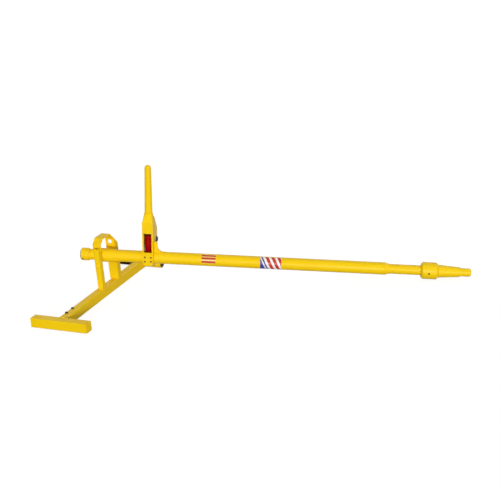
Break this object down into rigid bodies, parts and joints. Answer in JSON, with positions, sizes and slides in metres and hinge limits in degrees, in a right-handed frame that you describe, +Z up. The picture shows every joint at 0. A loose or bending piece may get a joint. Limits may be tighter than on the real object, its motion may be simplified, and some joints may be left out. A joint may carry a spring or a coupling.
{
  "type": "aircraft tow bar",
  "caption": "Yellow steel aircraft tow bar with an upright handle, carried in a swivelling sleeve on a low floor stand, with a telescoping spigot end.",
  "frame": {"origin": "underside of the stand's stem on the floor, below the tilt pivot", "axes": "+X along the bar towards the spigot, +Y towards the stand's rear foot, +Z up"},
  "size_m": [1.6787, 0.7241, 0.5269],
  "materials": {
    "yellow_paint": "satin",
    "black_steel": "satin",
    "zinc_steel": "satin",
    "bronze": "satin",
    "black_plastic": "matte",
    "red_plastic": "gloss"
  },
  "bodies": {
    "stand": {"foot_tube": "yellow_paint", "foot_end_caps": "yellow_paint", "stem_tube": "yellow_paint", "stem_bolts": "black_steel", "rear_foot_tube": "yellow_paint", "rear_foot_plugs": "black_plastic", "near_leg": "yellow_paint", "leg_bolt": "yellow_paint", "far_leg": "yellow_paint", "hoop": "yellow_paint", "trunnion_bushes": "bronze"},
    "tilt_yoke": {"yoke": "yellow_paint", "trunnion_washer": "zinc_steel", "trunnion_nut": "zinc_steel", "swivel_pin": "yellow_paint", "swivel_pin_ring": "yellow_paint"},
    "sleeve": {"bearing_sleeve": "yellow_paint", "sleeve_bushes": "yellow_paint"},
    "bar": {"stub_shaft": "yellow_paint", "end_collar": "yellow_paint", "end_collar_screw": "black_steel", "end_plug": "black_plastic", "main_tube": "yellow_paint", "nose_ring": "yellow_paint", "cheek_left": "yellow_paint", "cheek_right": "yellow_paint", "front_plate": "yellow_paint", "rear_plate": "yellow_paint", "clamp_plate": "yellow_paint", "clamp_screws": "black_steel", "latch_shelf": "yellow_paint", "neck": "yellow_paint", "grip": "yellow_paint", "grip_stud": "zinc_steel", "side_bolt": "black_steel", "side_bolt_nut": "black_steel", "gusset": "yellow_paint", "latch_spring": "zinc_steel"},
    "latch": {"latch": "red_plastic", "latch_head": "black_plastic"},
    "spigot": {"inner_tube": "yellow_paint", "guide_bush": "bronze", "spigot_cone": "yellow_paint", "spigot": "yellow_paint"},
    "collar": {"lock_collar": "yellow_paint", "lock_collar_screw": "black_steel"}
  },
  "joints": [
    {"name": "stand_tilt", "type": "hinge", "parent": "stand", "child": "tilt_yoke", "pos_m": [0, 0, 0.1618], "axis": [-0.3223, -0.9466, 0], "range_deg": [0, 18]},
    {"name": "stand_swivel", "type": "hinge", "parent": "tilt_yoke", "child": "sleeve", "pos_m": [0.01241, 0.03645, 0.1618], "axis": [0.0982, -0.0334, 0.9946], "range_deg": [-42, 7]},
    {"name": "bar_roll", "type": "hinge", "parent": "sleeve", "child": "bar", "pos_m": [0.01235, -0.00153, 0.16053], "axis": [0.9952, 0.0016, -0.0982], "range_deg": [-50, 50]},
    {"name": "latch_lift", "type": "slide", "parent": "bar", "child": "latch", "axis": [0.0982, -0.0334, 0.9946], "range_m": [0, 0.012], "stiffness_N_per_m": 900, "springref_m": -0.004, "deforming": ["latch_spring"]},
    {"name": "spigot_slide", "type": "slide", "parent": "bar", "child": "spigot", "axis": [0.9952, 0.0016, -0.0982], "range_m": [-0.12, 0.1]},
    {"name": "collar_twist", "type": "hinge", "parent": "spigot", "child": "collar", "pos_m": [1.27944, 0.00056, 0.03547], "axis": [0.9952, 0.0016, -0.0982], "range_deg": [0, 60]}
  ]
}
